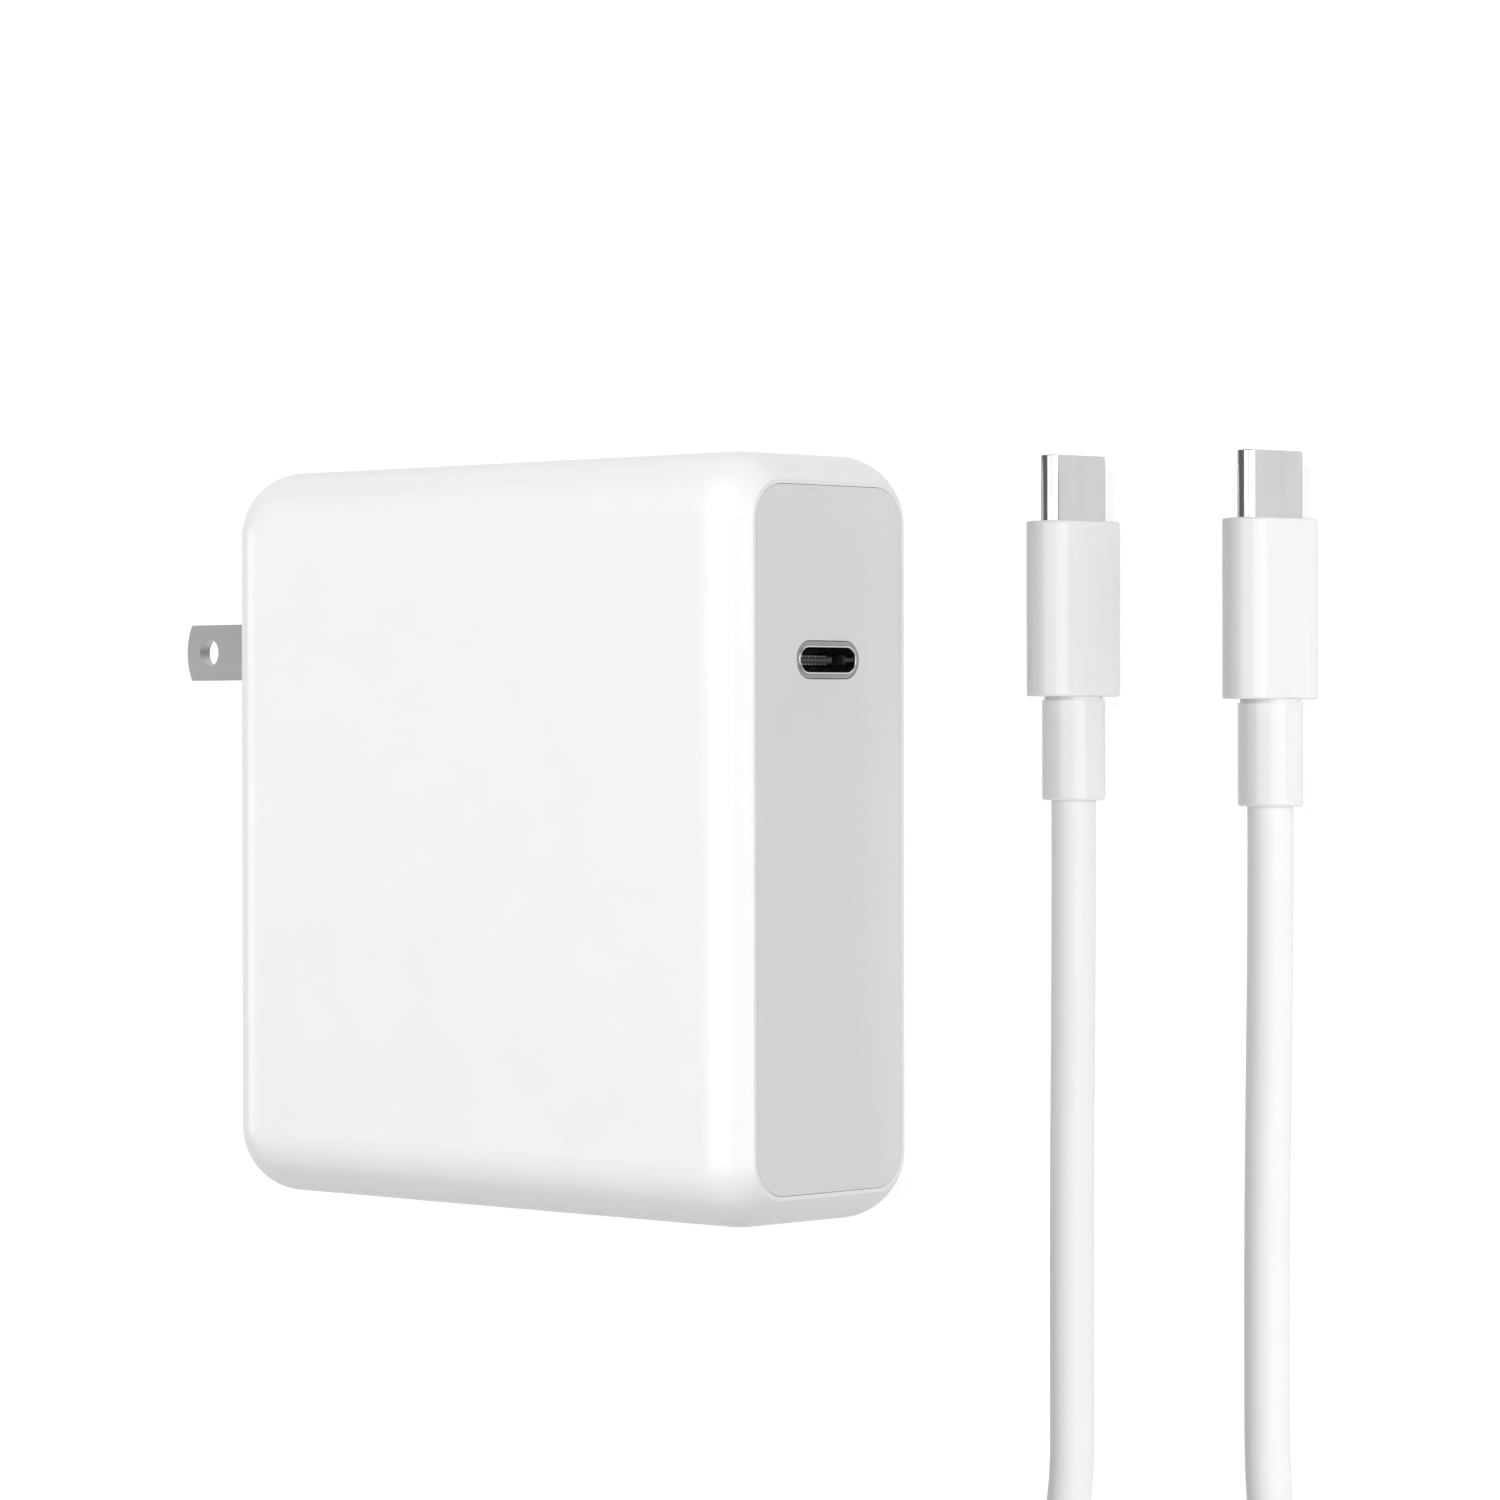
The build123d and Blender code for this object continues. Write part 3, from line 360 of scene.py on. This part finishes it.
def drawn_metal(name, tone, rough, along=(1, 1, 1), line=0.05, height=0.0006, shade=0.08):
    """Plated or drawn metal: fine lines along the way it was worked, and cloudier patches."""
    material, tree, shader = new_material(name)
    shader.inputs["Metallic"].default_value = 1.0
    patches = spread(tree, noise(tree, PATCH_SIZE, along), 0.0, 1.0)
    dark = [c * (1 - shade) for c in tone]
    tree.links.new(two_tone(tree, patches, dark, tone), shader.inputs["Base Color"])
    lines = noise(tree, line, along, detail=3.0)
    sheen = spread(tree, lines, rough - LINES_SMOOTHER, rough + LINES_ROUGHER)
    tree.links.new(sheen, shader.inputs["Roughness"])
    bump(tree, shader, lines, height)
    return material


def wound(name, tone, wire, axis):
    """Turns of wire side by side along one axis of the row frame, with painted shade in the grooves
    between them.
    """
    material, tree, shader = new_material(name)
    place = tree.nodes.new("ShaderNodeTexCoord")
    turns = tree.nodes.new("ShaderNodeTexWave")
    turns.wave_type = "BANDS"
    turns.bands_direction = axis
    turns.wave_profile = "SIN"
    turns.inputs["Scale"].default_value = WAVE_PERIOD / (wire * MM)
    turns.inputs["Distortion"].default_value = 0.0
    tree.links.new(place.outputs["Object"], turns.inputs["Vector"])
    # the grooves between turns are painted darker: painted shade where the hollows would be shaded
    dark = [c * PAINTED_WIRE_GAP_SHADE for c in tone]
    tree.links.new(two_tone(tree, turns.outputs["Fac"], dark, tone), shader.inputs["Base Color"])
    patches = spread(tree, noise(tree, WIRE_PATCH_SIZE), 0.28, 0.42)
    tree.links.new(patches, shader.inputs["Roughness"])
    bump(tree, shader, turns.outputs["Fac"], wire / 2)
    return material


def woven(name, tone, yarn):
    """Plain-woven tape with a soft face: weft along X, warp along Y and Z round the bundle, with
    painted shade in the hollows between the yarns.
    """
    material, tree, shader = new_material(name)
    place = tree.nodes.new("ShaderNodeTexCoord")
    split = tree.nodes.new("ShaderNodeSeparateXYZ")
    tree.links.new(place.outputs["Object"], split.inputs["Vector"])
    warp = tree.nodes.new("ShaderNodeMath")
    warp.operation = "ADD"
    tree.links.new(split.outputs["Y"], warp.inputs[0])
    tree.links.new(split.outputs["Z"], warp.inputs[1])
    waves = []
    for value in (split.outputs["X"], warp.outputs[0]):
        phase = tree.nodes.new("ShaderNodeMath")
        phase.operation = "MULTIPLY"
        phase.inputs[1].default_value = math.pi / (yarn * MM)
        tree.links.new(value, phase.inputs[0])
        wave = tree.nodes.new("ShaderNodeMath")
        wave.operation = "SINE"
        tree.links.new(phase.outputs[0], wave.inputs[0])
        waves.append(wave.outputs[0])
    crossing = tree.nodes.new("ShaderNodeMath")
    crossing.operation = "MULTIPLY_ADD"
    crossing.inputs[2].default_value = 0.5
    tree.links.new(waves[0], crossing.inputs[0])
    tree.links.new(waves[1], crossing.inputs[1])
    fuzz = noise(tree, FUZZ_SIZE, detail=6.0)
    # the low points of the weave are painted darker: painted shade between the yarns
    dark = [c * PAINTED_YARN_GAP_SHADE for c in tone]
    tree.links.new(two_tone(tree, crossing.outputs[0], dark, tone), shader.inputs["Base Color"])
    tree.links.new(spread(tree, fuzz, 0.75, 0.95), shader.inputs["Roughness"])
    bump(tree, shader, crossing.outputs[0], WEAVE_HEIGHT)
    bump(tree, shader, fuzz, FUZZ_HEIGHT)
    shader.inputs["Sheen Weight"].default_value = CLOTH_SHEEN
    return material


WHITE = (0.86, 0.86, 0.86)
PLUG_WHITE = (0.79, 0.79, 0.79)
PANEL_GREY = (0.76, 0.76, 0.762)
# how much longer the lines of a worked metal are along each axis than across
ALONG_Y = (1, 40, 1)
ALONG_X = (30, 1, 1)
MATERIALS = {
    "white_shell": moulded("white_shell", WHITE, 0.34, coat=0.25),
    "grey_panel": moulded("grey_panel", PANEL_GREY, 0.5, grain=0.25, grain_height=0.002),
    "plated_steel": drawn_metal("plated_steel", (0.7, 0.7, 0.69), 0.15, ALONG_Y),
    "trim_steel": drawn_metal("trim_steel", (0.4, 0.4, 0.4), 0.4, ALONG_Y),
    "blade_metal": drawn_metal("blade_metal", (0.6, 0.6, 0.588), 0.4, ALONG_X),
    "black_nylon": moulded("black_nylon", (0.07, 0.07, 0.072), 0.45),
    "gold_contact": drawn_metal("gold_contact", (0.62, 0.54, 0.4), 0.3),
    "mechanism_nylon": moulded("mechanism_nylon", (0.7, 0.7, 0.68), 0.42, shade=0.06),
    "spring_bronze": drawn_metal("spring_bronze", (0.7, 0.44, 0.22), 0.3),
    "screw_steel": drawn_metal("screw_steel", (0.5, 0.5, 0.52), 0.3),
    "board_laminate": moulded("board_laminate", (0.03, 0.15, 0.07), 0.35, 0.6, 0.01, 0.3, 0.4),
    "component_epoxy": moulded("component_epoxy", (0.03, 0.03, 0.033), 0.5, shade=0.2),
    "film_capacitor": moulded("film_capacitor", (0.7, 0.5, 0.06), 0.4, shade=0.1),
    "disc_blue": moulded("disc_blue", (0.03, 0.1, 0.36), 0.35, 0.8, 0.03, 0.2, 0.4),
    "thermistor_green": moulded("thermistor_green", (0.06, 0.16, 0.07), 0.4, 0.8, 0.03, 0.2),
    "capacitor_sleeve": moulded("capacitor_sleeve", (0.03, 0.035, 0.06), 0.3, shade=0.2, coat=0.4),
    "polymer_can": drawn_metal("polymer_can", (0.75, 0.75, 0.76), 0.28, (1, 1, 20)),
    "ferrite": moulded("ferrite", (0.05, 0.05, 0.055), 0.6, 0.3, 0.02, 0.35),
    "copper_winding": wound("copper_winding", (0.55, 0.22, 0.08), 0.6, "X"),
    "winding_tape": moulded("winding_tape", (0.7, 0.52, 0.08), 0.3, 1.5, 0.02, 0.15, 0.3),
    "heat_sheet": drawn_metal("heat_sheet", (0.74, 0.75, 0.76), 0.34, (1, 30, 1)),
    "insulation_film": moulded("insulation_film", (0.5, 0.42, 0.25), 0.22, 2.0, 0.01, 0.1, 0.5),
    "thermal_silicone": moulded("thermal_silicone", (0.3, 0.4, 0.5), 0.65, 0.4, 0.02, 0.1),
    "fuse_body": moulded("fuse_body", (0.7, 0.67, 0.6), 0.3, shade=0.1, coat=0.3),
    "lead_black": moulded("lead_black", (0.02, 0.02, 0.02), 0.4),
    "cord_white": moulded("cord_white", (0.82, 0.82, 0.82), 0.4),
    "plug_white": moulded("plug_white", PLUG_WHITE, 0.25, 0.5, 0.0006, coat=0.3),
    "tie_fabric": woven("tie_fabric", (0.75, 0.75, 0.75), 0.5),
}


def dress(piece, slot):
    """Gives a piece the material of one of the record's slots."""
    piece.data.materials.clear()
    piece.data.materials.append(MATERIALS[slot])


for node_name, node in NODES.items():
    for i in range(len(node.material_slots)):
        node.material_slots[i].material = MATERIALS[SLOT_OF[node_name]]


# ---------------------------------------------------------------- studio
WORLD_LIGHT = 0.15
FLOOR_GLOW = 0.5
FLOOR_SEEN_GLOW = 0.75  # keeps the soft shadows on the table pale
FLOOR_TONE, FLOOR_ROUGH, FLOOR_SHINE = 0.4, 0.9, 0.1
FLOOR_HALF = 6.0
FLOOR_DROP = 0.05 * MM  # keeps the table just clear of the part


def area_light(name, place, aim, size, power, lit):
    """A square soft box that points at a place and lights one group of pieces."""
    data = bpy.data.lights.new(name, "AREA")
    data.shape = "SQUARE"
    data.size = size
    data.energy = power
    light = bpy.data.objects.new(name, data)
    bpy.context.scene.collection.objects.link(light)
    way = Vector(aim) - Vector(place)
    turn = way.to_track_quat("-Z", "Y").to_matrix().to_4x4()
    light.matrix_world = Matrix.Translation(Vector(place)) @ turn
    light.light_linking.receiver_collection = lit


def light_group(name, pieces):
    """The pieces that one set of lights shines on."""
    group = bpy.data.collections.new(name)
    for piece in pieces:
        group.objects.link(piece)
    return group


def make_floor():
    """A wide white table top at the height the part rests on."""
    mesh = bpy.data.meshes.new("table_top")
    sides = [(-1, -1), (1, -1), (1, 1), (-1, 1)]
    corners = [(x * FLOOR_HALF, y * FLOOR_HALF, 0) for x, y in sides]
    mesh.from_pydata(corners, [], [(0, 1, 2, 3)])
    floor = bpy.data.objects.new("table_top", mesh)
    floor.location.z = -FLOOR_DROP
    bpy.context.scene.collection.objects.link(floor)
    material, tree, shader = new_material("table_top")
    shader.inputs["Base Color"].default_value = (FLOOR_TONE, FLOOR_TONE, FLOOR_TONE, 1)
    shader.inputs["Roughness"].default_value = FLOOR_ROUGH
    shader.inputs["Specular IOR Level"].default_value = FLOOR_SHINE
    shader.inputs["Emission Color"].default_value = (1, 1, 1, 1)
    path = tree.nodes.new("ShaderNodeLightPath")
    glow = tree.nodes.new("ShaderNodeMapRange")
    glow.inputs["To Min"].default_value = FLOOR_GLOW
    glow.inputs["To Max"].default_value = FLOOR_SEEN_GLOW
    tree.links.new(path.outputs["Is Camera Ray"], glow.inputs["Value"])
    tree.links.new(glow.outputs["Result"], shader.inputs["Emission Strength"])
    mesh.materials.append(material)
    return floor


def make_world():
    """Even soft light from all round, white where the camera sees past the table."""
    world = bpy.data.worlds.new("studio")
    bpy.context.scene.world = world
    world.use_nodes = True
    tree = world.node_tree
    soft = tree.nodes["Background"]
    soft.inputs["Color"].default_value = (1, 1, 1, 1)
    soft.inputs["Strength"].default_value = WORLD_LIGHT
    seen = tree.nodes.new("ShaderNodeBackground")
    seen.inputs["Strength"].default_value = 1.0
    path = tree.nodes.new("ShaderNodeLightPath")
    mix = tree.nodes.new("ShaderNodeMixShader")
    tree.links.new(path.outputs["Is Camera Ray"], mix.inputs["Fac"])
    tree.links.new(soft.outputs["Background"], mix.inputs[1])
    tree.links.new(seen.outputs["Background"], mix.inputs[2])
    tree.links.new(mix.outputs["Shader"], tree.nodes["World Output"].inputs["Surface"])


CABLE_WORDS = ("plug_", "cord_", "cable_")  # the names of the cable's nodes start with these
CABLE_NODES = [node for name, node in NODES.items() if name.startswith(CABLE_WORDS)]
ADAPTER_NODES = [node for node in NODES.values() if node not in CABLE_NODES]


ON_FACE = (0, 0, 0)
ON_PLUGS = (0.08, 0, 0.005)
ON_COIL = (0.08, -0.08, 0.01)
# name, place, the point it is aimed at, size in metres and power in watts
ADAPTER_LIGHTS = [
    ("overhead", (0.0, 0.0, 1.0), ON_FACE, 0.8, 4.2),
    ("socket_end", (0.1, 0.45, 0.85), ON_FACE, 0.7, 4.5),
    ("port_side", (0.82, 0.0, 0.48), (0.05, 0, 0.01), 0.8, 3.4),
    ("blade_side", (-0.95, 0.0, 0.4), (0, 0, 0.02), 0.35, 0.95),
]
CABLE_LIGHTS = [
    ("cable_side", (0.85, 0.0, 0.4), ON_PLUGS, 0.9, 6.2),
    ("cable_over", (0.25, 0.0, 0.97), ON_PLUGS, 0.7, 2.8),
    ("cable_low", (-0.1, -0.95, 0.3), ON_COIL, 0.7, 1.8),
    ("cable_back", (-0.35, 0.85, 0.3), ON_COIL, 0.7, 1.2),
]


def make_studio(loose_pieces):
    """White table; one set of soft boxes for the adapter and the table, and one for the cable."""
    make_world()
    floor = make_floor()
    adapter = light_group("lit_adapter", [*ADAPTER_NODES, floor])
    cable = light_group("lit_cable", [*CABLE_NODES, *loose_pieces])
    for name, place, aim, size, power in ADAPTER_LIGHTS:
        area_light(name, place, aim, size, power, adapter)
    for name, place, aim, size, power in CABLE_LIGHTS:
        area_light(name, place, aim, size, power, cable)
    bpy.context.scene.view_settings.view_transform = "Standard"
    bpy.context.scene.view_settings.look = "None"


make_camera()
tie_strap = make_tie()
dress(tie_strap, "tie_fabric")
charge_cord = make_cord()
dress(charge_cord, "cord_white")
make_studio([tie_strap, charge_cord])
